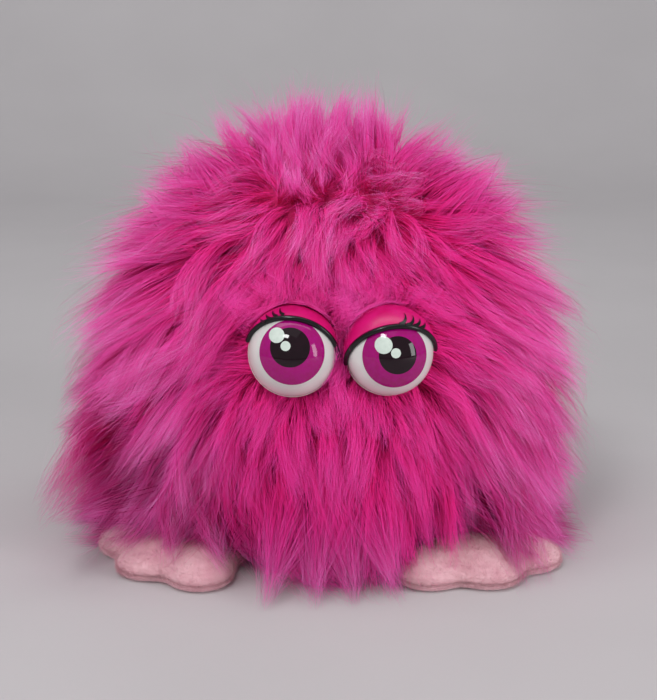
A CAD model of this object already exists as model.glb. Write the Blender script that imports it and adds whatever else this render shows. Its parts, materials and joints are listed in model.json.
"""A moving mouth hand puppet: a dome of long pink pile with two plastic eyes and two plush feet.

Lengths are in millimetres until a mesh is made. +Z is up and the face looks along -Y.
"""

import json
import math

import bmesh
import bpy
import numpy as np
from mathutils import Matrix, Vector


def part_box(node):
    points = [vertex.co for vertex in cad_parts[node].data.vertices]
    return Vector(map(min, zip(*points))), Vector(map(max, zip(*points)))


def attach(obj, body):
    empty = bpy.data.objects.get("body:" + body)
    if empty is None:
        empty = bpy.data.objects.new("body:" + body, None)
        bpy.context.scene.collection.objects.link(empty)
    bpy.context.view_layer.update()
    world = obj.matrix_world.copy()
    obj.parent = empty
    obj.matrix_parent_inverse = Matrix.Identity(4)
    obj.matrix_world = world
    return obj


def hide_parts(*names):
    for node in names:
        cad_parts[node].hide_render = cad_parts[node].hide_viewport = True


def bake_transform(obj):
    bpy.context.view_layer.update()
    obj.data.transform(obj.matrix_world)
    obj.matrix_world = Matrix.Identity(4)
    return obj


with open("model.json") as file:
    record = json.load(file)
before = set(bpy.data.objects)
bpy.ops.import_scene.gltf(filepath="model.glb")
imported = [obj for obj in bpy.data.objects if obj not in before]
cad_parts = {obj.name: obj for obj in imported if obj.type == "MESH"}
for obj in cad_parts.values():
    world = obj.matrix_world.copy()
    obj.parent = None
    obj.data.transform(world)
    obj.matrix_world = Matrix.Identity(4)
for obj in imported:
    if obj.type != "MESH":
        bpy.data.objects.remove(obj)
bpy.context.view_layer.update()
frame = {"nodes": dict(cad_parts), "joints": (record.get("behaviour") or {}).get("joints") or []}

MM = 0.001
SEED = 11


def node_box(name):
    """A CAD node's lowest and highest corners, in millimetres."""
    low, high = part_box(name)
    return np.array(low) / MM, np.array(high) / MM


# ---- places taken from the frame ----
HEAD_JOINT = next(j for j in frame["joints"] if j["name"] == "head_lift")
HINGE = np.array(HEAD_JOINT["pos_m"]) / MM
FEET_JOINTS = {j["child"]: j for j in frame["joints"] if j["child"].endswith("_foot")}
HEM_LOW, HEM_HIGH = node_box("hand_opening_hem")
OPENING_CENTRE = (HEM_LOW + HEM_HIGH) / 2
SLEEVE_FRONT = node_box("hand_sleeve_lining")[0][1] + 2  # where the tunnel meets the two pockets
MOUTH_Z = HINGE[2]

# ---- driving dimensions ----
HEAD_X = 4.0  # the face is a little to the right of the dome's middle
EYE_Y, EYE_Z, EYE_RADIUS = -76.0, 96.0, 17.6
EYE_HALF_SPACING = 19.4
SKIN_CENTRE = np.array((0.0, -6.0, 60.0))
SKIN_RADII = np.array((79.6, 67.6, 107.6))  # outer face of the fur's backing cloth
SKIN_MEAN_RADIUS = 85.0
SKIN_BOTTOM = 5.0
BACKING_THICKNESS = 1.4
WEAVE_PITCH = 0.9
MOUTH_HALF_WIDTH = 42.0
HEAD_LEAN = math.radians(10)
CHIN_SHOULDER_Z, CHIN_BOTTOM_Z, CHIN_HALF_WIDTH = 51.5, 26.0, 21.0
OPENING_RADII = (38.5, 36.5)  # of the hem's middle line
SLEEVE_THICKNESS = 0.8
FOOT_HEIGHT = 12.6

# the pile runs away from the line between these two places
PARTING = np.array(((-20.0, -32.0, 152.0), (24.0, -34.0, 152.0)))
PILE_LIMIT_LOW = np.array((-116.5, -112.0, 0.7))
PILE_LIMIT_HIGH = np.array((116.5, 97.5, 202.0))
UNDER_EYE = 11.0  # the pile starts this far from an eye's axis
PILE_LENGTH = 38.0
FULL_STRANDS = 165000
STRANDS = FULL_STRANDS
CLUMPS = 3600
LOCKS = 420
STEPS = 7  # points along a strand
ALONG = np.linspace(0, 1, STEPS)
FIBRE_WIDTH = 0.21
MOST_TRIANGLES = 195000  # in one piece of the pile

CAMERA_AZIMUTH, CAMERA_ELEVATION = math.radians(-2), math.radians(15)
CAMERA_DISTANCE = 600.0
CAMERA_LENS, CAMERA_SENSOR = 77.14, 36.0
AIM_LEFT, AIM_UP = 5.0, 0.8
UP = np.array((0, 0, 1.0))


# ---- small helpers ----
def unit(v):
    return v / np.maximum(np.linalg.norm(v, axis=-1, keepdims=True), 1e-9)


def along_cloth(v, n):
    """The direction of v once its part along the normals n is taken away."""
    return unit(v - (v * n).sum(1)[:, None] * n)


def xyz(x, y, z):
    """Points from their coordinates, which may be single numbers, rows or columns of a grid."""
    return np.stack(np.broadcast_arrays(x, y, z), -1)


def circle(count):
    """Angles all round, the first at zero."""
    return np.linspace(0, 2 * math.pi, count, endpoint=False)


def axes(azimuth, elevation):
    """Unit vectors for something that faces this way from the front: outward, to the right and up."""
    level = math.cos(elevation)
    out = np.array((math.sin(azimuth) * level, -math.cos(azimuth) * level, math.sin(elevation)))
    right = np.array((math.cos(azimuth), math.sin(azimuth), 0.0))
    return out, right, np.cross(out, right)


def make_eye(side, azimuth, elevation):
    look, _, up = axes(math.radians(azimuth), math.radians(elevation))
    return {"centre": np.array((HEAD_X + side * EYE_HALF_SPACING, EYE_Y, EYE_Z)), "look": look, "up": up}


EYES = {"left": make_eye(-1, -2.0, 15.0), "right": make_eye(1, 3.6, 11.5)}


def smooth(low, high, x):
    """0 below low, 1 above high and smooth between them; low may be the larger one."""
    t = np.clip((np.asarray(x, float) - low) / (high - low), 0, 1)
    return t * t * (3 - 2 * t)


def mesh_object(name, points, faces, materials, indices=None):
    """An object from points in millimetres and faces, all of one length, as arrays."""
    faces = np.asarray(faces, np.int32)
    points = np.reshape(points, (-1, 3))
    mesh = bpy.data.meshes.new(name)
    mesh.vertices.add(len(points))
    mesh.vertices.foreach_set("co", (points * MM).astype(np.float32).ravel())
    mesh.loops.add(faces.size)
    mesh.loops.foreach_set("vertex_index", faces.ravel())
    mesh.polygons.add(len(faces))
    mesh.polygons.foreach_set("loop_start", np.arange(0, faces.size, faces.shape[1], dtype=np.int32))
    for m in materials:
        mesh.materials.append(m)
    if indices is not None:
        mesh.polygons.foreach_set("material_index", np.asarray(indices, np.int32))
    mesh.polygons.foreach_set("use_smooth", np.full(len(faces), True))
    mesh.update(calc_edges=True)
    ob = bpy.data.objects.new(name, mesh)
    bpy.context.scene.collection.objects.link(ob)
    return ob


def grid_faces(rows, columns, ring=False, closed_rows=False):
    """Quads between neighbouring rows and columns of points. In a ring the last column meets the first."""
    r = np.arange(rows if closed_rows else rows - 1)
    c = np.arange(columns if ring else columns - 1)
    rr, cc = np.meshgrid(r, c, indexing="ij")
    r2, c2 = (rr + 1) % rows, (cc + 1) % columns
    quads = np.stack([rr * columns + cc, rr * columns + c2, r2 * columns + c2, r2 * columns + cc], -1)
    return quads.reshape(-1, 4)


# ---- materials ----
def linear(r, g, b):
    """A colour given as 0 to 255 sRGB, as the linear RGBA that a shader takes."""
    c = np.array((r, g, b)) / 255
    c = np.where(c <= 0.04045, c / 12.92, ((c + 0.055) / 1.055) ** 2.4)
    return (*c, 1.0)


def set_inputs(node, inputs):
    for socket, value in inputs.items():
        node.inputs[socket.replace("_", " ")].default_value = value


def plain_shader(name, colour, roughness, **sockets):
    mat = bpy.data.materials.new(name)
    mat.use_nodes = True
    shader = mat.node_tree.nodes["Principled BSDF"]
    set_inputs(shader, {"Base_Color": colour, "Roughness": roughness, **sockets})
    return mat


def add_node(tree, kind, **inputs):
    node = tree.nodes.new(kind)
    set_inputs(node, inputs)
    return node


def noise_node(tree, scale, detail):
    """A noise over the object's own coordinates, in features per metre."""
    place = add_node(tree, "ShaderNodeTexCoord")
    noise = add_node(tree, "ShaderNodeTexNoise", Scale=scale, Detail=detail)
    tree.links.new(place.outputs["Object"], noise.inputs["Vector"])
    return noise


def add_relief(tree, height, strength, depth):
    """Lets a height stand out from the surface by a depth in metres."""
    relief = add_node(tree, "ShaderNodeBump", Strength=strength, Distance=depth)
    tree.links.new(height, relief.inputs["Height"])
    tree.links.new(relief.outputs["Normal"], tree.nodes["Principled BSDF"].inputs["Normal"])


def surface(name, dark, light, roughness, patch=120, grain=1500, bump=0.2, depth=0.0004, **sockets):
    """A shader whose colour drifts between two tones, with a fine grain in its relief and gloss."""
    dark, light = linear(*dark), linear(*light)
    mat = plain_shader(name, light, roughness, **sockets)
    tree = mat.node_tree
    links, shader = tree.links, tree.nodes["Principled BSDF"]
    patches = noise_node(tree, patch, 4.0)
    ramp = add_node(tree, "ShaderNodeValToRGB")
    for element, place, colour in zip(ramp.color_ramp.elements, (0.32, 0.68), (dark, light)):
        element.position, element.color = place, colour
    links.new(patches.outputs["Fac"], ramp.inputs["Fac"])
    links.new(ramp.outputs["Color"], shader.inputs["Base Color"])
    fine = noise_node(tree, grain, 2.0)
    if bump:
        add_relief(tree, fine.outputs["Fac"], bump, depth)
    gloss = add_node(tree, "ShaderNodeMapRange", To_Min=roughness * 0.88, To_Max=min(1.0, roughness * 1.12))
    links.new(fine.outputs["Fac"], gloss.inputs["Value"])
    links.new(gloss.outputs["Result"], shader.inputs["Roughness"])
    return mat


def weave(name, dark, light, roughness):
    """A woven cloth: crossed sets of ribs, in three directions so that any face shows them."""
    mat = surface(name, dark, light, roughness, bump=0, Sheen_Weight=0.25)
    tree = mat.node_tree
    place = add_node(tree, "ShaderNodeTexCoord")
    height = None
    for direction in ("X", "Y", "Z"):
        wave = add_node(tree, "ShaderNodeTexWave", Scale=1000 / WEAVE_PITCH * math.pi / 10)
        wave.bands_direction = direction
        tree.links.new(place.outputs["Object"], wave.inputs["Vector"])
        rib = wave.outputs["Fac"]
        if height is not None:
            add = add_node(tree, "ShaderNodeMath")
            tree.links.new(height, add.inputs[0])
            tree.links.new(rib, add.inputs[1])
            rib = add.outputs[0]
        height = rib
    add_relief(tree, height, 0.5, 0.0003)
    return mat


FUR_LEVELS = (  # root, lower, middle, upper and tip of a fibre
    (240, 34, 132), (243, 42, 144), (245, 52, 156), (247, 66, 168), (249, 88, 184),
)
FUR_TINTS = ((0.985, 0.84, 0.95), (1.0, 1.0, 1.0), (1.0, 1.35, 1.1), (1.0, 1.7, 1.19))


def fur_materials():
    """One plain shader for each tint and each level along a fibre."""
    made = []
    for t, tint in enumerate(FUR_TINTS):
        for level, tone in enumerate(FUR_LEVELS):
            colour = [min(255, c * k) for c, k in zip(tone, tint)]
            made.append(plain_shader(f"fur_{t}_{level}", linear(*colour), 0.55, Specular_IOR_Level=0.15))
    return made


FUR = fur_materials()
BACKING = surface("fur_backing", (176, 12, 84), (198, 20, 104), 0.9, 160, 2200, 0.5)
PLUSH = surface("foot_plush", (206, 152, 164), (222, 178, 186), 0.85, 130, 2600, 0.5,
                0.0005, Sheen_Weight=0.4, Sheen_Roughness=0.45)
FELT = surface("palate_felt", (205, 30, 110), (228, 52, 134), 0.9, 300, 1800, 0.6,
               0.0005, Sheen_Weight=0.3)
LINING = weave("sleeve_lining", (138, 26, 88), (164, 38, 108), 0.85)
HEM = weave("hem_ribbon", (196, 28, 104), (222, 44, 128), 0.7)
BASE_CLOTH = weave("base_cloth", (190, 30, 104), (214, 48, 124), 0.85)
GLOSSY, CLEAR = {"Specular_IOR_Level": 0.4}, {"Specular_IOR_Level": 0.36}
EYE_WHITE = surface("eye_white", (194, 192, 190), (204, 202, 200), 0.06, 60, 700, 0.01, **GLOSSY)
IRIS = surface("eye_iris", (142, 6, 94), (150, 4, 108), 0.05, 500, 900, 0.01, **CLEAR)
PUPIL = surface("eye_pupil", (20, 4, 12), (26, 6, 17), 0.05, 300, 900, 0.01, **CLEAR)
DOT = surface("eye_dot", (186, 198, 190), (198, 208, 200), 0.14, 400, 900, 0.01, **GLOSSY)
LID = surface("eyelid", (190, 14, 96), (200, 20, 110), 0.24, 150, 900, 0.02, **GLOSSY)
LASH = surface("lash", (8, 6, 9), (16, 12, 16), 0.2, 400, 900, 0.02, **GLOSSY)
NYLON = surface("washer_nylon", (214, 212, 204), (230, 228, 222), 0.4, 200, 900, 0.1)
BOARD = surface("mouth_board", (150, 146, 140), (172, 168, 160), 0.7, 200, 1500, 0.2)
THREAD = surface("thread", (214, 40, 130), (230, 58, 146), 0.6, 400, 3000, 0.3)


# ---- places on the backing cloth ----
def on_cloth(p):
    """The place on the cloth in the same direction from its middle."""
    return SKIN_CENTRE + unit((p - SKIN_CENTRE) / SKIN_RADII) * SKIN_RADII


def skin_normal(p):
    return unit((p - SKIN_CENTRE) / SKIN_RADII**2)


def chin_half(z):
    """Half the chin's width at a height."""
    t = np.clip((z - CHIN_BOTTOM_Z) / (CHIN_SHOULDER_Z - CHIN_BOTTOM_Z), 0, 1)
    return CHIN_HALF_WIDTH + (MOUTH_HALF_WIDTH - CHIN_HALF_WIDTH) * t


PART_NAMES = ("head", "cheeks", "nape", "chin", "back")
HEAD, CHEEKS, NAPE, CHIN, BACK = range(len(PART_NAMES))


def part_of(p):
    """Which part of the puppet each point of the cloth belongs to."""
    x, y, z = p[..., 0], p[..., 1], p[..., 2]
    behind = (y - HINGE[1]) * math.cos(HEAD_LEAN) - (z - MOUTH_Z) * math.sin(HEAD_LEAN) > 0
    in_chin = (np.abs(x - HEAD_X) < chin_half(z)) & (z > CHIN_BOTTOM_Z)
    lower = np.where(y >= HINGE[1], BACK, np.where(in_chin, CHIN, CHEEKS))
    return np.where(z < MOUTH_Z, lower, np.where(behind, NAPE, HEAD))


def hold(piece, part):
    """Makes a piece move with its part: the parts between two bodies bend."""
    if part == HEAD:
        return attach(piece, "head")
    if part == BACK:
        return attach(piece, "body")
    if part == CHEEKS:
        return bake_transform(piece)
    if part == CHIN:
        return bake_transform(piece)
    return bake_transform(piece)


def eye_distance(p, eye):
    """Distance from an eye's axis, and the direction away from that axis."""
    off = p - eye["centre"]
    radial = off - (off @ eye["look"])[..., None] * eye["look"]
    distance = np.linalg.norm(radial, axis=-1)
    return distance, radial / np.maximum(distance, 1e-9)[..., None]


def opening_share(p):
    """0 in the middle of the hand opening, 1 at its hem and more outside it."""
    off = (p[..., (0, 2)] - OPENING_CENTRE[[0, 2]]) / OPENING_RADII
    return (off**2).sum(-1)


def in_opening(p):
    return (opening_share(p) < 1) & (p[:, 1] > 0)


# ---- the pile: directions and lengths ----
def has_pile(p):
    """True where the cloth carries pile: not at its lower edge, behind the eyes or at the hand opening."""
    keep = (p[:, 2] > SKIN_BOTTOM + 1) & ~in_opening(p)
    for eye in EYES.values():
        distance, _ = eye_distance(p, eye)
        keep &= ~((distance < UNDER_EYE) & (p[:, 1] < 0))
    return keep


def sample_roots(count, rng):
    """Points spread evenly over the cloth."""
    kept = np.zeros((0, 3))
    while len(kept) < count:
        u = unit(rng.normal(size=(count, 3)))
        stretch = np.linalg.norm(u / SKIN_RADII, axis=1) * SKIN_RADII.prod() / SKIN_RADII.max() ** 2
        p = SKIN_CENTRE + u[rng.random(count) < stretch] * SKIN_RADII
        kept = np.vstack([kept, p[has_pile(p)]])
    return kept[:count]


def on_face(p, sides, top, bottom):
    """1 in a patch of the face and 0 round it; each pair is where it ends and where it is whole."""
    x, z = np.abs(p[:, 0] - HEAD_X), p[:, 2]
    return smooth(*sides, x) * smooth(*top, z) * smooth(*bottom, z)


def lay(roots, rng):
    """For each root: start and end directions, and length."""
    n = skin_normal(roots)
    y, z = roots[:, 1], roots[:, 2]
    line = PARTING[1] - PARTING[0]
    along = np.clip((roots - PARTING[0]) @ line / (line @ line), 0, 1)
    away = roots - PARTING[0] - along[:, None] * line
    away = away + rng.normal(size=(len(roots), 1)) * np.array((3.0, 0, 0))
    from_crown = np.linalg.norm(away, axis=1)
    fall = smooth(15, 105, from_crown)[:, None]
    flow = unit(along_cloth(away, n) * (1 - 0.55 * fall) + along_cloth(-UP, n) * 0.75 * fall)

    # how far each root is in each region of the puppet, from 0 to 1
    side = smooth(0.35, 0.85, np.abs(n[:, 0]))
    front = smooth(-0.2, -0.75, n[:, 1])
    back = smooth(0.1, 0.6, n[:, 1])
    top = smooth(0.62, 0.93, n[:, 2]) * smooth(-58, -38, y)
    face = front * on_face(roots, (52, 30), (146, 128), (50, 62))
    muzzle = face * smooth(88, 74, z)
    lip = front * on_face(roots, (46, 38), (80, 66), (MOUTH_Z - 1, MOUTH_Z))
    chin = (part_of(roots) == CHIN).astype(float)
    flare = smooth(62, 22, z) * smooth(0.55, 0.9, np.abs(n[:, 0]))
    fringe = smooth(45, 15, z) * smooth(0.1, -0.4, n[:, 1])
    hollow = smooth(26, 8, from_crown)
    beside = np.minimum(*(eye_distance(roots, eye)[0] for eye in EYES.values()))
    puff = smooth(56, 26, beside) * (y < -20)

    lift = 0.6 + 0.7 * top - 0.2 * face + 0.35 * side + 0.5 * flare + 0.25 * chin + 0.7 * hollow + 0.7 * puff
    end_lift = 0.25 + 0.7 * top - 0.04 * face + 0.5 * side + 0.5 * flare + 0.15 * chin + 0.42 * puff
    droop = 0.1 + 0.12 * side + 0.25 * face + 0.45 * chin - 0.1 * flare
    length = PILE_LENGTH + 17 * side + 8 * back - 4 * top - 14 * face - 3 * muzzle + 24 * chin
    length = length + 6 * flare + 12 * fringe - 10 * hollow + 16 * lip

    for eye in EYES.values():
        distance, radial = eye_distance(roots, eye)
        near = np.exp(-np.maximum(distance - 18, 0) / 9.0) * (y < -20)
        radial = along_cloth(radial, n)
        flow = unit(flow + 1.2 * near[:, None] * radial)
        close = smooth(32, 20, distance) * (y < -20)
        under = smooth(20, 17, distance) * (y < -20)
        lift = lift + 2.0 * close * (1 - under)
        flow = unit(flow + 3 * under[:, None] * radial)
        length = length * (1 - 0.15 * near) + 4 * under
    beyond_hem = np.maximum(np.sqrt(opening_share(roots)) - 1, 0)
    near = np.exp(-beyond_hem / 0.2) * (y > 20) * smooth(70, 50, z)
    outward = (roots - OPENING_CENTRE) * (1, 0, 1)
    flow = unit(flow + 0.8 * near[:, None] * along_cloth(outward, n))

    sway = unit(np.cross(n, flow))
    wander = rng.normal(size=(len(roots), 1)) * 0.36
    start = unit(flow + lift[:, None] * n + wander * sway)
    end = unit(flow + end_lift[:, None] * n + 1.3 * wander * sway - droop[:, None] * UP)
    return start, end, length * rng.uniform(0.75, 1.15, len(roots))


def foot_frame(body):
    """A foot's seam middle, its forward direction and its sideways direction, on the floor."""
    joint = FEET_JOINTS[body]
    across = unit(np.array(joint["axis"], float))
    forward = np.cross(UP, across)
    if forward[1] > 0:
        forward = -forward
    return np.array(joint["pos_m"]) / MM * (1, 1, 0), forward, np.cross(forward, UP)


FOOT_FRAMES = {body: foot_frame(body) for body in FEET_JOINTS}


def clear(p, spare=0.0, ring=0.0):
    """Moves points out of the cloth, the eyes, the feet and the floor."""
    q = (p - SKIN_CENTRE) / SKIN_RADII
    r = np.linalg.norm(q, axis=-1, keepdims=True)
    least = 1 + (0.6 + spare) / SKIN_MEAN_RADIUS
    p = np.where(r < least, SKIN_CENTRE + q / np.maximum(r, 1e-6) * least * SKIN_RADII, p)
    for eye in EYES.values():
        distance, radial = eye_distance(p, eye)
        depth = (p - eye["centre"]) @ eye["look"]
        above = smooth(0.0, 0.7, radial @ eye["up"])
        keep_out = EYE_RADIUS - 0.9 + 2.6 * above + ring
        inside = (distance < keep_out) & (depth > -8)
        p = np.where(inside[..., None], p + radial * (keep_out - distance)[..., None], p)
    for origin, forward, across in FOOT_FRAMES.values():
        off = p - origin
        reach = (off @ across / 38) ** 2 + ((off @ forward - 29) / 32) ** 2  # about 1 at its outline
        top = FOOT_HEIGHT * (1 - 0.55 * reach) + 0.8
        under = (reach < 1) & (p[..., 2] < top)
        p[..., 2] = np.where(under, top, p[..., 2])
    return np.clip(p, PILE_LIMIT_LOW, PILE_LIMIT_HIGH)


def grow(roots, rng):
    """Curves from the roots, as an array of strand, step and coordinate."""
    start, end, length = lay(roots, rng)
    curves = np.empty((len(roots), STEPS, 3))
    curves[:, 0] = roots
    p = roots.copy()
    for k in range(1, STEPS):
        bend = ((k - 0.5) / (STEPS - 1)) ** 0.8
        direction = unit(start * (1 - bend) + end * bend)
        p = clear(p + direction * (length / (STEPS - 1))[:, None], spare=1.2 * k)
        curves[:, k] = p
    return curves


LOOSE_LOCKS = (  # root and tip of the locks that stand out from the outline
    ((-79, -8, 64), (-115, -24, 62)), ((-79, -12, 54), (-116, -30, 46)), ((-77, -24, 60), (-115, -50, 56)),
    ((-75, -30, 50), (-116, -103, 45)), ((-75, -34, 42), (-115, -100, 36)), ((-72, -36, 32), (-114, -76, 26)),
    ((-58, -50, 24), (-66, -92, 13)), ((-48, -56, 24), (-44, -96, 12)), ((77, -18, 52), (113, -20, 44)),
    ((75, -22, 40), (116, -26, 24)), ((68, -40, 26), (104, -64, 3)), ((62, -46, 22), (92, -82, 15)),
    ((64, -50, 26), (78, -98, 3)), ((68, -46, 24), (88, -90, 4)), ((54, -14, 132), (86, -14, 150)),
    ((46, -22, 140), (76, -18, 166)), ((-50, -20, 132), (-80, -16, 152)), ((-38, -18, 146), (-62, -14, 174)),
    ((12, -64, 34), (26, -104, 2)), ((-4, -66, 30), (-8, -110, 2)), ((-14, -62, 32), (-27, -110, 2)),
    ((4, -64, 28), (8, -108, 2)),
)
LOCK_FIBRES = int(520 * STRANDS / FULL_STRANDS)
LOCK_SPREAD = 7.0


def loose_locks(rng):
    """Extra strands in the locks that stand out."""
    t = ALONG[None, :, None]
    curves = []
    for root, tip in LOOSE_LOCKS:
        root, tip = on_cloth(np.array(root)), np.array(tip)
        roots = on_cloth(root + rng.normal(size=(LOCK_FIBRES, 3)) * LOCK_SPREAD)
        reach = np.linalg.norm(tip - root)
        tips = tip + rng.normal(size=(LOCK_FIBRES, 3)) * (2.2, 3.2, 2.6)
        tips = roots + (tips - roots) * rng.uniform(0.62, 1.0, (LOCK_FIBRES, 1))
        control = roots + skin_normal(roots) * reach * 0.45 + (0, 0, 0.08 * reach)
        some = roots[:, None] * (1 - t) ** 2 + control[:, None] * 2 * t * (1 - t) + tips[:, None] * t**2
        curves.append(some + rng.normal(size=(LOCK_FIBRES, 1, 3)) * 0.5 * np.sin(t * 6))
    curves = np.vstack(curves)
    curves[:, 1:] = clear(curves[:, 1:])
    return curves


def nearest(points, parts, places, place_parts):
    """Index of the nearest place of the same part, for each point."""
    apart = 400.0
    a = np.hstack([points, parts[:, None] * apart])
    b = np.hstack([places, place_parts[:, None] * apart])
    found = np.empty(len(a), int)
    for first in range(0, len(a), 4000):
        chunk = a[first:first + 4000]
        d = (b**2).sum(1)[None] - 2 * chunk @ b.T
        found[first:first + 4000] = d.argmin(1)
    return found


def make_pile(count, rng):
    """All strands of the pile: curves, parts, clumps, and which ones stray."""
    t = ALONG
    lock_roots = sample_roots(LOCKS, rng)
    lock_curves = grow(lock_roots, rng)
    clump_roots = sample_roots(CLUMPS, rng)
    clump_curves = grow(clump_roots, rng)
    clump_parts = part_of(clump_roots)
    mine = nearest(clump_roots, clump_parts, lock_roots, part_of(lock_roots))
    draw = (0.6 * t**1.3)[None, :, None]
    offset = (clump_roots - lock_roots[mine])[:, None] * (1 - 0.75 * t)[None, :, None]
    clump_curves = clump_curves * (1 - draw) + (lock_curves[mine] + offset) * draw

    roots = sample_roots(count, rng)
    parts = part_of(roots)
    mine = nearest(roots, parts, clump_roots, clump_parts)
    stray = rng.random(count) < 0.15
    tight = np.where(stray, rng.uniform(0.0, 0.3, count), rng.uniform(0.1, 0.72, count))
    fluffy = smooth(-20, -40, roots[:, 1]) * on_face(roots, (60, 40), (135, 115), (30, 50))
    tight = tight * (1 - 0.6 * fluffy)
    shrink = 1 - tight[:, None] * t[None] ** 0.9
    middle = clump_roots[mine]
    guide = clump_curves[mine] - middle[:, None]
    scale = np.where(stray, rng.uniform(0.9, 1.2, count), rng.uniform(0.62, 1.05, count))
    curves = middle[:, None] + guide * scale[:, None, None] + (roots - middle)[:, None] * shrink[..., None]
    loose = rng.normal(size=(count, 1, 3)) * np.where(stray, 5.0, 1.7)[:, None, None]
    wave = rng.normal(size=(count, 1, 3)) * np.where(stray, 1.2, 0.5)[:, None, None]
    curves = curves + loose * (t**1.6)[None, :, None] + wave * np.sin(t * 5.5)[None, :, None]
    curves[:, 1:] = clear(curves[:, 1:], ring=rng.uniform(0, 1.2, (count, 1)))
    extra = loose_locks(rng)
    curves = np.vstack([curves, extra])
    parts = np.concatenate([parts, part_of(extra[:, 0])])
    mine = np.concatenate([mine, rng.integers(0, CLUMPS, len(extra))])
    return curves, parts, mine, np.concatenate([stray, np.zeros(len(extra), bool)])


def ribbons(name, curves, tint, width, twist, rng):
    """Flat tapered fibres along curves, in one mesh."""
    t = ALONG
    tangent = unit(np.gradient(curves, axis=1))
    across = unit(np.cross(tangent, curves - SKIN_CENTRE))
    other = np.cross(tangent, across)
    turn = twist[:, None, None]
    across = across * np.cos(turn) + other * np.sin(turn)
    taper = 0.55 + 0.45 * np.sin(math.pi * np.minimum(t * 1.6, 1)) ** 0.5
    taper = taper * (1 - 0.82 * t**2.2)
    half = across * (width[:, None] * taper[None] / 2)[..., None]
    points = np.stack([curves - half, curves + half], 2).reshape(-1, 3)
    base = (np.arange(len(curves)) * STEPS * 2)[:, None]
    k = np.arange(STEPS - 1)[None] * 2
    quads = np.stack([base + k, base + k + 1, base + k + 3, base + k + 2], -1).reshape(-1, 4)
    level = np.minimum(np.arange(STEPS - 1) * len(FUR_LEVELS) // (STEPS - 1), len(FUR_LEVELS) - 1)
    index = (tint[:, None] * len(FUR_LEVELS) + level[None]).ravel()
    piece = mesh_object(name, points, quads, FUR, index)
    # a fibre scatters light all round, so it is shaded as the coat's own surface more than as a ribbon
    round_normal = unit(unit(points - (0, 0, 40)) + rng.normal(size=points.shape) * 0.1)
    piece.data.normals_split_custom_set_from_vertices(round_normal)
    return piece


def add_pile():
    """The pile as pieces small enough to store, each on its part."""
    rng = np.random.default_rng(SEED)
    curves, parts, clumps, stray = make_pile(STRANDS, rng)
    count = len(curves)
    # the pile is deeper in colour round the eyes and over the mouth
    roots = curves[:, 0]
    deep = smooth(0, -30, roots[:, 1]) * on_face(roots, (56, 34), (160, 130), (20, 50))
    clump_tint = rng.integers(0, 3, CLUMPS)
    tint = np.where(rng.random(count) < 0.4, clump_tint[clumps], rng.integers(0, 3, count))
    tint = np.where(rng.random(count) < deep, tint // 2, tint + 1)
    width = FIBRE_WIDTH * rng.uniform(0.7, 1.25, count) * np.where(stray, 0.65, 1)
    twist = rng.normal(size=count) * 0.7
    most = MOST_TRIANGLES // (2 * (STEPS - 1))
    made = {part: [] for part in range(len(PART_NAMES))}
    for part, pieces in made.items():
        mine = np.flatnonzero(parts == part)
        mine = mine[np.argsort(curves[mine, 0, 0])]
        for n, some in enumerate(np.array_split(mine, math.ceil(len(mine) / most))):
            piece = ribbons(f"{PART_NAMES[part]}_pile_{n + 1}", curves[some], tint[some], width[some],
                            twist[some], rng)
            hold(piece, part)
            pieces.append(piece)
    return made


pile = add_pile()


# ---- closed cloth and solid shapes ----
def shell(name, points, quads, normals, thickness, materials):
    """A sheet with two faces and closed rims, from its outer face."""
    points = np.reshape(points, (-1, 3))
    normals = np.broadcast_to(np.reshape(normals, (-1, 3)), points.shape)
    used, renumbered = np.unique(quads, return_inverse=True)
    quads = renumbered.reshape(quads.shape)
    outer = points[used]
    inner = outer - normals[used] * thickness
    sides = np.concatenate([quads[:, [i, (i + 1) % 4]] for i in range(4)])
    key = sides[:, 0] * len(used) + sides[:, 1]
    back = sides[:, 1] * len(used) + sides[:, 0]
    rim = sides[~np.isin(key, back)]
    n = len(used)
    rims = np.stack([rim[:, 1], rim[:, 0], rim[:, 0] + n, rim[:, 1] + n], 1)
    faces = np.vstack([quads, quads[:, ::-1] + n, rims])
    return mesh_object(name, np.vstack([outer, inner]), faces, materials)


def fill_ends(piece):
    """Closes any open rim with a face."""
    bm = bmesh.new()
    bm.from_mesh(piece.data)
    bmesh.ops.holes_fill(bm, edges=[e for e in bm.edges if e.is_boundary], sides=0)
    bmesh.ops.recalc_face_normals(bm, faces=bm.faces)
    bm.to_mesh(piece.data)
    bm.free()


def solid(name, rings, material):
    """A closed body from rings of points."""
    faces = grid_faces(*rings.shape[:2], ring=True)
    piece = mesh_object(name, rings, faces, [material])
    fill_ends(piece)
    return piece


def ring_share(z):
    """The cloth's width at a height, as a share of its widest."""
    return np.sqrt(np.maximum(1 - ((z - SKIN_CENTRE[2]) / SKIN_RADII[2]) ** 2, 1e-4))


def angle_at_depth(y, z):
    """Where the cloth, seen from above, passes a depth on the right side."""
    return np.arcsin(np.clip((y - SKIN_CENTRE[1]) / (SKIN_RADII[1] * ring_share(z)), -1, 1))


def angle_in_front(x, z):
    """Where the cloth's front, seen from above, passes a place across."""
    return -np.arccos(np.clip((x - SKIN_CENTRE[0]) / (SKIN_RADII[0] * ring_share(z)), -1, 1))


def cloth_grid(heights, start, stop, columns):
    """Points on the cloth in rows, each from one angle to another, with the grid's faces."""
    angle = start[:, None] + (stop - start)[:, None] * np.linspace(0, 1, columns)
    z = heights[:, None]
    points = xyz(SKIN_CENTRE[0] + SKIN_RADII[0] * ring_share(z) * np.cos(angle),
                 SKIN_CENTRE[1] + SKIN_RADII[1] * ring_share(z) * np.sin(angle), z)
    return points.reshape(-1, 3), grid_faces(len(heights), columns)


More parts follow.
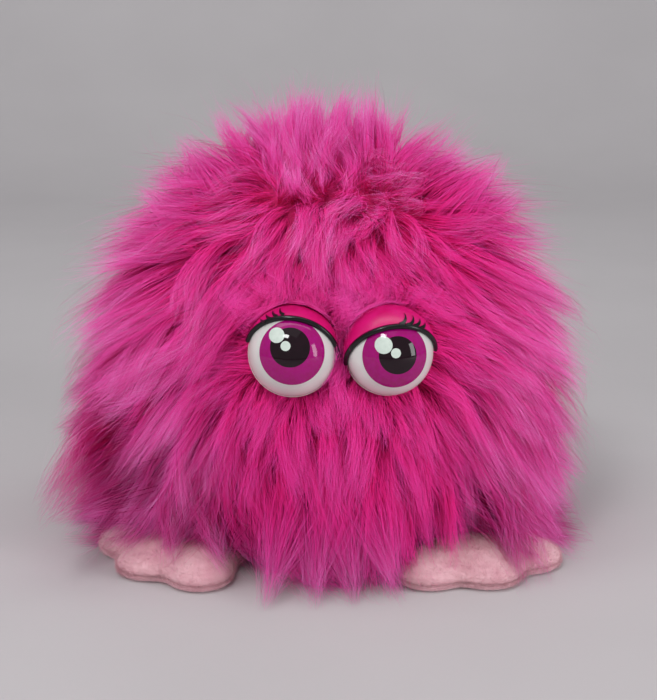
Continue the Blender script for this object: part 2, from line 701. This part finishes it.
def add_backing():
    """The cloth that the pile grows from, in one piece for each part."""
    below, above = MOUTH_Z - 0.3, MOUTH_Z + 0.3
    turn = np.linspace(math.asin((above - SKIN_CENTRE[2]) / SKIN_RADII[2]), math.pi / 2 - 0.03, 80)
    upper = SKIN_CENTRE[2] + SKIN_RADII[2] * np.sin(turn)
    lean = angle_at_depth(HINGE[1] + (upper - MOUTH_Z) * math.tan(HEAD_LEAN), upper)
    nape = upper < upper[-1] - 2
    hem_rows = np.linspace(SKIN_BOTTOM, CHIN_BOTTOM_Z, 20)
    chin_rows = np.linspace(CHIN_BOTTOM_Z, below, 30)
    back_rows = np.linspace(SKIN_BOTTOM, below, 44)
    hem_side, chin_side, back_side = (angle_at_depth(HINGE[1], z) for z in (hem_rows, chin_rows, back_rows))
    chin_left = angle_in_front(HEAD_X - chin_half(chin_rows), chin_rows)
    chin_right = angle_in_front(HEAD_X + chin_half(chin_rows), chin_rows)
    grids = {
        HEAD: [cloth_grid(upper, -math.pi - lean, lean, 260)],
        NAPE: [cloth_grid(upper[nape], lean[nape], math.pi - lean[nape], 130)],
        CHEEKS: [
            cloth_grid(hem_rows, -math.pi - hem_side, hem_side, 240),
            cloth_grid(chin_rows, -math.pi - chin_side, chin_left, 80),
            cloth_grid(chin_rows, chin_right, chin_side, 80),
        ],
        CHIN: [cloth_grid(chin_rows, chin_left, chin_right, 70)],
        BACK: [cloth_grid(back_rows, back_side, math.pi - back_side, 140)],
    }
    made = {}
    for k, parts in grids.items():
        points = np.vstack([g[0] for g in parts])
        first = np.cumsum([0] + [len(g[0]) for g in parts])
        quads = np.vstack([g[1] + n for g, n in zip(parts, first)])
        corners = points[quads]
        across, other = corners[:, 2] - corners[:, 0], corners[:, 3] - corners[:, 1]
        size = np.linalg.norm(np.cross(across, other), axis=1)
        quads = quads[~in_opening(corners.mean(1)) & (size > 1e-3)]
        made[k] = shell(f"{PART_NAMES[k]}_backing", points, quads, skin_normal(points),
                        BACKING_THICKNESS, [BACKING])
        hold(made[k], k)
    return made


backing = add_backing()
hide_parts("head_fur_panel", "head_stuffing")
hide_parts("left_side_fur_panel", "right_side_fur_panel", "left_side_stuffing",
            "right_side_stuffing")
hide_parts("nape_fur_fold", "back_stuffing")
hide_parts("chin_fur_panel", "chin_fur_fringe", "chin_stuffing")
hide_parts("back_fur_panel")


# ---- feet ----
TOES = ((-24.0, 37.5), (0.0, 46.0), (24.0, 37.5))
TOE_RADIUS = 13.5
FOOT_MIDDLE = (0.0, 27.0)
HEEL_HALF = 19.0
OUTLINE_SOFTNESS = 4.2


def foot_distance(a, b):
    """Signed distance to the foot's rounded outline, in the foot's own plane."""
    toes = np.stack([np.hypot(a - x, b - y) - TOE_RADIUS for x, y in TOES])
    pad = np.hypot(a / 1.12, b - 24) - 21.5
    heel = np.maximum(np.abs(a) - HEEL_HALF, np.abs(b - 18) - 14)
    every = np.vstack([toes, pad[None], heel[None]])
    return 0.9 - OUTLINE_SOFTNESS * np.log(np.exp(-every / OUTLINE_SOFTNESS).sum(0))


def foot_edge(angles):
    """How far the outline is from the foot's middle in each direction."""
    low, high = 5.0, 60.0
    for _ in range(40):
        middle = (low + high) / 2
        a = FOOT_MIDDLE[0] + middle * np.sin(angles)
        b = FOOT_MIDDLE[1] + middle * np.cos(angles)
        inside = foot_distance(a, b) < 0
        low, high = np.where(inside, middle, low), np.where(inside, high, middle)
    return low


FOOT_PROFILE = (  # inset from the outline and height, from the sole's edge over the seam to the top
    (3.2, 0.15), (1.2, 0.4), (0.3, 1.1), (0.1, 2.0), (0.3, 2.6), (0.6, 2.9), (0.35, 3.2),
    (0.1, 3.8), (0.15, 4.8), (0.9, 6.1), (2.6, 7.6), (5.4, 9.2), (9.5, 10.9), (14.0, 12.2),
)


def foot_points():
    """The foot's outer surface in its own frame, as rings from the middle of the sole to the top."""
    turns = 220
    angles = circle(turns)
    edge = foot_edge(angles)
    rings = [(edge - FOOT_PROFILE[0][0]) * share for share in (0.02, 0.35, 0.7)]
    heights = [0.1, 0.1, 0.12]
    for inset, height in FOOT_PROFILE:
        rings.append(edge - inset)
        heights.append(height)
    last_inset, last_height = FOOT_PROFILE[-1]
    for share in (0.8, 0.55, 0.3, 0.02):
        rings.append((edge - last_inset) * share)
        heights.append(last_height + 1.3 * (1 - share**2))
    radius, height = np.array(rings), np.array(heights)[:, None]
    a = FOOT_MIDDLE[0] + radius * np.sin(angles)
    b = FOOT_MIDDLE[1] + radius * np.cos(angles)
    for side in (-1, 1):  # the creases that run back from between the toes
        along = unit(np.array((side * 3.0, 30.0)))
        from_a, from_b = a - side * 9.0, b - 22.0
        reach = from_a * along[0] + from_b * along[1]
        off = from_a * along[1] - from_b * along[0]
        height = height - np.exp(-(off / 2.6) ** 2) * smooth(12, 26, reach) * smooth(3.0, 6.0, height)
    return xyz(a, b, height)


def place_foot(body, local):
    origin, forward, across = FOOT_FRAMES[body]
    return origin + local[..., :1] * across + local[..., 1:2] * forward + local[..., 2:] * UP


def add_foot(body, rng):
    local = foot_points()
    rows, turns = local.shape[:2]
    quads = grid_faces(rows, turns, ring=True)[:, ::-1]
    name = body.replace("_foot", "")
    piece = mesh_object(f"{name}_foot_plush", place_foot(body, local), quads, [PLUSH])
    fill_ends(piece)
    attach(piece, body)
    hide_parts(f"{name}_foot_upper", f"{name}_foot_sole", f"{name}_foot_stuffing",
                f"{name}_foot_seam")
    # short nap all over the upper
    count = 40000
    row = rng.uniform(5, rows - 2, count)
    column = rng.uniform(0, turns, count)
    r0, c0 = row.astype(int), column.astype(int)
    fr, fc = (row - r0)[:, None], (column - c0)[:, None]
    p = sum(local[r, c % turns] * a * b for c, b in ((c0, 1 - fc), (c0 + 1, fc))
            for r, a in ((r0, 1 - fr), (r0 + 1, fr)))
    out = unit(xyz(p[:, 0] - FOOT_MIDDLE[0], p[:, 1] - FOOT_MIDDLE[1], (p[:, 2] - 3) * 7))
    tip = p + unit(out + rng.normal(size=p.shape) * 0.35) * rng.uniform(0.7, 2.0, (count, 1))
    tip[:, 2] = np.maximum(tip[:, 2], 0.2)
    side = unit(np.cross(tip - p, rng.normal(size=p.shape))) * 0.045
    corners = np.stack([p - side, p + side, tip], 1)
    faces = np.arange(3 * count).reshape(-1, 3)
    nap = mesh_object(f"{name}_foot_nap", place_foot(body, corners), faces, [PLUSH])
    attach(nap, body)


foot_rng = np.random.default_rng(SEED + 1)
for foot_body in FEET_JOINTS:
    add_foot(foot_body, foot_rng)


# ---- the hand's lining, the mouth's lining and the base ----
def tube(name, rings, material):
    """A cloth tube from rings of points on its outer face, all about one long axis."""
    along = np.gradient(rings, axis=0)
    around = np.roll(rings, -1, 1) - np.roll(rings, 1, 1)
    n = unit(np.cross(along, around))
    outward = rings - rings.mean(1, keepdims=True)
    n = n * np.sign((n * outward).sum(-1).mean())
    faces = grid_faces(*rings.shape[:2], ring=True)
    return shell(name, rings, faces, n, SLEEVE_THICKNESS, [material])


def skin_back(x, z):
    """How far back the cloth is at a place behind the hinge."""
    flat = 1 - ((x - SKIN_CENTRE[0]) / SKIN_RADII[0]) ** 2 - ((z - SKIN_CENTRE[2]) / SKIN_RADII[2]) ** 2
    return SKIN_CENTRE[1] + SKIN_RADII[1] * np.sqrt(np.maximum(flat, 0.01))


def wrinkles(angle, along, rng):
    """Soft folds that run along a tube and wander, between -1 and 1."""
    total = np.zeros(np.broadcast_shapes(angle.shape, along.shape))
    folds = range(4, 13)
    for count in folds:
        turn, drift = rng.uniform(0, 2 * math.pi, 2)
        swing = 1.3 * np.sin(along * 0.09 + drift)
        total = total + np.sin(count * 2 * angle + turn + swing) / len(folds) ** 0.5
    return np.clip(total, -1.6, 1.6) / 1.6


def stitches(name, line, out, material, length=2.4, width=0.75):
    """A row of short raised threads along a line of points."""
    ahead = unit(np.roll(line, -1, 0) - np.roll(line, 1, 0))
    across = unit(np.cross(out, ahead))
    corners = []
    for share, size in ((-0.5, 0.35), (-0.2, 1.0), (0.2, 1.0), (0.5, 0.35)):
        for turn in circle(6):
            corners.append(line + ahead * length * share
                           + (across * math.cos(turn) + out * math.sin(turn) * 0.7) * width / 2 * size)
    one = grid_faces(4, 6, ring=True)
    faces = (one + np.arange(len(line))[:, None, None] * 24).reshape(-1, 4)
    piece = mesh_object(name, np.stack(corners, 1), faces, [material])
    fill_ends(piece)
    return piece


def opening_ring(angle, extra):
    """Places across and up on the hem's line, or some way outside it."""
    return (OPENING_CENTRE[0] + (OPENING_RADII[0] + extra) * np.cos(angle),
            OPENING_CENTRE[2] + (OPENING_RADII[1] + extra) * np.sin(angle))


def add_opening(rng):
    """The lining's short tunnel with the gathered hem that holds it to the fur."""
    turns, sections = 320, 20
    angle = circle(turns)[None]
    share = np.linspace(0, 1, 40)[:, None]
    edge = skin_back(*opening_ring(angle, -1.2)) + 1.0
    y = SLEEVE_FRONT + (edge - SLEEVE_FRONT) * share
    gather = np.sin(38 * angle + 1.1 * np.sin(3 * angle) + 0.8 * np.sin(7 * angle + 1))
    fold = 0.9 * wrinkles(angle, y, rng) * (1 - 0.5 * share) + 0.8 * gather * share**3
    x, z = opening_ring(angle, fold - 2.6)
    sleeve = tube("hand_sleeve", xyz(x, y, z), LINING)
    hold(sleeve, NAPE)
    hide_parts("hand_sleeve_lining", "hand_opening_hem")

    around = circle(sections)[:, None]
    a = angle + 0.004 * np.sin(around)
    crimp = np.sin(46 * a + 0.9 * np.sin(5 * a) + 0.5 * np.sin(11 * a + 2))
    thick = 2.3 + 0.28 * crimp * np.abs(np.cos(around)) + 0.15 * np.sin(4 * a + 1)
    x, z = opening_ring(a, thick * np.cos(around) + 0.35 * crimp)
    y = skin_back(*opening_ring(a, 0)) + 1.2 + (1.7 + 0.3 * crimp) * np.sin(around)
    faces = grid_faces(sections, turns, closed_rows=True, ring=True)
    hem = mesh_object("opening_hem", xyz(x, y, z), faces, [HEM])
    hold(hem, NAPE)
    x, z = opening_ring(circle(72), 0.4)
    line = xyz(x, skin_back(x, z) + 2.95, z)
    thread = stitches("hem_thread", line, np.array((0, 1.0, 0)), THREAD)
    hold(thread, NAPE)


def pouch(name, node, half):
    """A soft pocket for the fingers or the thumb, from half of the tunnel to its closed end."""
    low, high = node_box(node)
    middle, reach = (low + high) / 2, (high - low) / 2 - 0.4
    angle = circle(150)
    c, s = np.cos(angle), np.sin(angle)
    # the section at the tunnel: half of an ellipse with a flat side
    wide, tall = OPENING_RADII[0] - 3.2, OPENING_RADII[1] - 3.2
    flat_z = MOUTH_Z + half * 2.6
    centre = np.array((OPENING_CENTRE[0], flat_z + half * 13.0))
    h = (centre[1] - OPENING_CENTRE[2]) / tall
    qa, qb, qc = (c / wide) ** 2 + (s / tall) ** 2, s * h / tall, h * h - 1
    oval = (-qb + np.sqrt(qb**2 - qa * qc)) / qa
    straight = abs(flat_z - centre[1]) / np.maximum(-half * s, 1e-3)
    start = (oval**-8.0 + straight**-8.0) ** (-1 / 8)
    end = (np.abs(c / reach[0]) ** 4 + np.abs(s / reach[2]) ** 4) ** (-1 / 4)
    first, last = SLEEVE_FRONT + 1.5, low[1] + 0.4
    y = first + (last - first) * (1 - (1 - np.linspace(0, 1, 70)) ** 1.25)
    folds = 0.5 * (1 + wrinkles(angle, y[:, None], np.random.default_rng(SEED + 5)))
    rings = []
    for at, fold in zip(y, folds):
        t = float(smooth(first, high[1], at))
        nose = max(1 - max((high[1] - at) / (high[1] - low[1]), 0) ** 5, 0.0004) ** 0.42
        radius = (start * (1 - t) + end * t) * nose - fold
        mid = centre * (1 - t) + middle[[0, 2]] * t
        rings.append(xyz(mid[0] + radius * c, at, mid[1] + radius * s))
    piece = tube(name, np.array(rings), LINING)
    fill_ends(piece)
    return piece


def palate(name, node, up, body):
    """The mouth's felt lining, from the fold to the lip, where it meets the fur."""
    low, high = node_box(node)
    face, other = (low[2], high[2]) if up > 0 else (high[2], low[2])
    back = high[1]
    columns, rows = 90, 70
    x = HEAD_X + (MOUTH_HALF_WIDTH + 1.0) * np.linspace(-1, 1, columns)
    flat = 1 - ((x - SKIN_CENTRE[0]) / SKIN_RADII[0]) ** 2
    front = SKIN_CENTRE[1] - SKIN_RADII[1] * np.sqrt(flat) + 0.9
    share = np.linspace(0, 1, rows)[:, None]
    y = back + (front - back) * share
    lip = smooth(7, 0.5, y - front)
    z = face + up * (0.5 * lip + 0.05 * np.sin(x * 0.37 + 1) * np.sin(y * 0.31))
    quads = grid_faces(rows, columns)
    piece = shell(name, xyz(x, y, z), quads if up > 0 else quads[:, ::-1], -up * UP,
                  abs(other - face), [FELT])
    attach(piece, body)
    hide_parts(node)
    turn = np.linspace(math.pi, 2 * math.pi, 48)[1:-1]
    line = xyz(HEAD_X + (MOUTH_HALF_WIDTH - 2) * np.cos(turn), -15 + 45 * np.sin(turn), face)
    thread = stitches(f"{name}_thread", line, -up * UP, THREAD, 2.0, 0.4)
    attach(thread, body)
    return piece, thread


def add_webs():
    """The lining at each corner of the mouth: a pleat when it is shut, a fan when it is open."""
    made = []
    rows, columns = 8, 60
    y = np.linspace(HINGE[1] - 1.0, -60.0, columns)[None]
    for side, side_word in ((-1, "left"), (1, "right")):
        for half, body in ((1, "head"), (-1, "jaw")):
            edge = MOUTH_Z + half * 0.26
            share = np.linspace(0, 1, rows)[:, None]
            tuck = 2.6 * np.cos(math.pi / 2 * share) * smooth(HINGE[1], 0, y)
            x = HEAD_X + side * (MOUTH_HALF_WIDTH + 0.4 - tuck)
            z = MOUTH_Z + (edge - MOUTH_Z) * share
            quads = grid_faces(rows, columns)
            web = shell(f"{side_word}_{body}_mouth_corner", xyz(x, y, z),
                        quads if side * half < 0 else quads[:, ::-1], (side, 0, 0), 0.5, [FELT])
            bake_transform(web)
            made.append(web)
    return made


def add_fold():
    """The rolled cloth at the back of the mouth."""
    low, high = node_box("mouth_hinge_fold")
    x = np.linspace(low[0], high[0], 120)[:, None]
    turn = circle(28)[None]
    r = 1.6 + 0.14 * np.sin(x * 1.9 + 2 * np.sin(turn)) + 0.08 * np.sin(x * 4.3 + turn)
    r = r * np.sqrt(np.clip(1 - (np.abs(2 * (x - low[0]) / (high[0] - low[0]) - 1)) ** 24, 0.02, 1))
    rings = xyz(x, HINGE[1] + r * np.cos(turn), HINGE[2] + r * np.sin(turn))
    piece = solid("palate_fold", rings, FELT)
    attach(piece, "body")
    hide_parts("mouth_hinge_fold")
    return piece


def base_reach(angle, spare):
    """How far the base's outline, with its tabs, is from the middle in each direction."""
    low, high = node_box("base_pellet_pad")
    middle, half = (low + high) / 2, (high - low) / 2 + spare
    reach = np.linspace(5, 90, 700)[:, None]
    x, y = middle[0] + reach * np.cos(angle), middle[1] + reach * np.sin(angle)
    inside = ((x - middle[0]) / half[0]) ** 2 + ((y - middle[1]) / half[1]) ** 2 < 1
    if spare > 0:
        for origin, forward, across in FOOT_FRAMES.values():
            a = (x - origin[0]) * across[0] + (y - origin[1]) * across[1]
            b = (x - origin[0]) * forward[0] + (y - origin[1]) * forward[1]
            inside |= (np.abs(a) < 16.5) & (b < -1.0) & (b > -17)
    edge = np.where(inside, reach, 0).max(0)
    for _ in range(3):
        edge = (np.roll(edge, 1) + 2 * edge + np.roll(edge, -1)) / 4
    return middle, edge


def add_base():
    """The cloth under the puppet, and the flat bag of pellets on it."""
    turns, rows = 300, 40
    angle = circle(turns)
    middle, edge = base_reach(angle, 5.0)
    radius = edge * np.linspace(0.01, 1, rows)[:, None]
    x, y = middle[0] + radius * np.cos(angle), middle[1] + radius * np.sin(angle)
    z = 1.3 + 0.12 * np.sin(x * 0.21) * np.sin(y * 0.17 + 1)
    faces = grid_faces(rows, turns, ring=True)
    cloth = shell("base_cloth", xyz(x, y, z), faces, UP, 1.1, [BASE_CLOTH])
    fill_ends(cloth)
    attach(cloth, "body")
    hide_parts("base_panel")

    low, high = node_box("base_pellet_pad")
    middle, edge = base_reach(angle, 0.0)
    half = (high[2] - low[2]) / 2
    rings = []
    for turn in np.linspace(-math.pi / 2, math.pi / 2, 44):
        side = math.cos(turn) ** 0.55
        inset = 0.9 * math.exp(-(turn / 0.09) ** 2)  # the seam pulls in at mid height
        radius = (edge - inset) * max(side, 0.012)
        x, y = middle[0] + radius * np.cos(angle), middle[1] + radius * np.sin(angle)
        rise = half * abs(math.sin(turn)) ** 0.8
        near_seam = math.exp(-((abs(turn) - 0.45) / 0.35) ** 2)
        pucker = 0.35 * np.abs(np.sin(34 * angle + 1.5 * np.sin(4 * angle))) * near_seam
        grain = 0.35 * np.sin(x * 0.42 + np.sin(y * 0.3)) * np.sin(y * 0.38 + 1) * (turn > 0)
        z = middle[2] + np.sign(turn) * (rise - 0.5 - pucker) + grain * (1 - side)
        rings.append(xyz(x, y, np.clip(z, low[2], high[2])))
    bag = solid("pellet_bag", np.array(rings), BASE_CLOTH)
    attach(bag, "body")
    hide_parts("base_pellet_pad")


add_opening(np.random.default_rng(SEED + 2))
finger_pouch = pouch("finger_pouch", "finger_pocket", 1)
hold(finger_pouch, NAPE)
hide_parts("finger_pocket")
thumb_pouch = pouch("thumb_pouch", "thumb_pocket", -1)
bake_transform(thumb_pouch)
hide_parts("thumb_pocket")
upper_felt, upper_thread = palate("upper_palate", "upper_palate_lining", 1, "head")
lower_felt, lower_thread = palate("lower_palate", "lower_palate_lining", -1, "jaw")
fold_piece = add_fold()
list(add_webs())
add_base()


# ---- finishes on the frame's own nodes ----
def finish_node(node, material):
    ob = frame["nodes"][node]
    ob.data.materials.clear()
    ob.data.materials.append(material)


EYE_FINISHES = (
    ("eyeball", EYE_WHITE, "eye_white"), ("iris", IRIS, "eye_iris"), ("pupil", PUPIL, "eye_pupil"),
    ("catchlights", DOT, "eye_dot"), ("eyelid", LID, "eyelid"), ("lash_line", LASH, "lash"),
    ("eye_washer", NYLON, "washer"),
)
for eye_side in EYES:
    for eye_node, finish, finish_slot in EYE_FINISHES:
        finish_node(f"{eye_side}_{eye_node}", finish)
for plate in ("upper_mouth_plate", "lower_mouth_plate"):
    finish_node(plate, BOARD)


# ---- camera, light and floor ----
VIEW_BACK, VIEW_RIGHT, VIEW_UP = axes(CAMERA_AZIMUTH, CAMERA_ELEVATION)
EYE_PLACE = np.array((HEAD_X, EYE_Y, EYE_Z)) * MM


def point_at(ob, place, direction):
    ob.location = place
    ob.rotation_mode = "QUATERNION"
    ob.rotation_quaternion = Vector(direction).to_track_quat("-Z", "Y")
    bpy.context.scene.collection.objects.link(ob)


def add_camera():
    data = bpy.data.cameras.new("camera")
    data.sensor_fit = "VERTICAL"
    data.sensor_height = data.sensor_width = CAMERA_SENSOR
    data.lens = CAMERA_LENS
    data.clip_start, data.clip_end = 0.01, 20
    camera = bpy.data.objects.new("camera", data)
    aside = VIEW_UP * AIM_UP - VIEW_RIGHT * AIM_LEFT
    point_at(camera, EYE_PLACE + (aside + VIEW_BACK * CAMERA_DISTANCE) * MM, -VIEW_BACK)
    bpy.context.scene.camera = camera


def mirrored(right_share, up_share):
    """Where a light stands, a metre off, so that a ball at the eyes shows it this far from its middle."""
    front = math.sqrt(1 - right_share**2 - up_share**2)
    normal = VIEW_RIGHT * right_share + VIEW_UP * up_share + VIEW_BACK * front
    return EYE_PLACE + 2 * front * normal - VIEW_BACK


def add_light(name, place, aim, size, power):
    data = bpy.data.lights.new(name, "AREA")
    data.shape, data.size, data.size_y = "RECTANGLE", *size
    data.energy = power
    light = bpy.data.objects.new(name, data)
    point_at(light, place, np.subtract(aim, place))
    return light


def add_room():
    """A pale floor that curves up behind, soft daylight and six lamps."""
    turn = np.linspace(0, math.pi / 2, 24)
    bend, front, back, side, top = 700, -3000, 900, 4000, 3000
    depth = np.concatenate([[front], back + bend * np.sin(turn), [back + bend]])
    height = np.concatenate([[0], bend * (1 - np.cos(turn)), [top]])
    points = np.array([(x, y, z) for y, z in zip(depth, height) for x in (-side, side)])
    paper = surface("floor_top", (184, 180, 182), (188, 184, 186), 0.75, 6, 400, 0.02)
    floor = mesh_object("floor", points, grid_faces(len(depth), 2)[:, ::-1], [paper])
    world = bpy.data.worlds.new("room")
    bpy.context.scene.world = world
    world.use_nodes = True
    background = world.node_tree.nodes["Background"]
    background.inputs["Color"].default_value = linear(206, 208, 210)
    background.inputs["Strength"].default_value = 0.55
    add_light("key", mirrored(-0.14, 0.36), EYE_PLACE, (0.22, 0.15), 3.2)
    add_light("window", mirrored(0.5, 0.05), EYE_PLACE, (0.2, 0.5), 2.2)
    add_light("overhead", (-0.1, -0.2, 1.3), (0, 0, 0.1), (1.2, 1.0), 1.2)
    add_light("backdrop", (0, 0.2, 1.6), (0, 1.5, 0.5), (2.0, 0.8), 10.0)
    for x in (-1.0, 1.0):
        fill = add_light("fill", (x, -0.75, 0.3), (0, 0, 0.05), (0.8, 0.8), 7.0)
        fill.visible_glossy = False  # it opens the shadows without showing in the eyes
    view = bpy.context.scene.view_settings
    view.view_transform, view.look = "Standard", "None"


add_camera()
add_room()
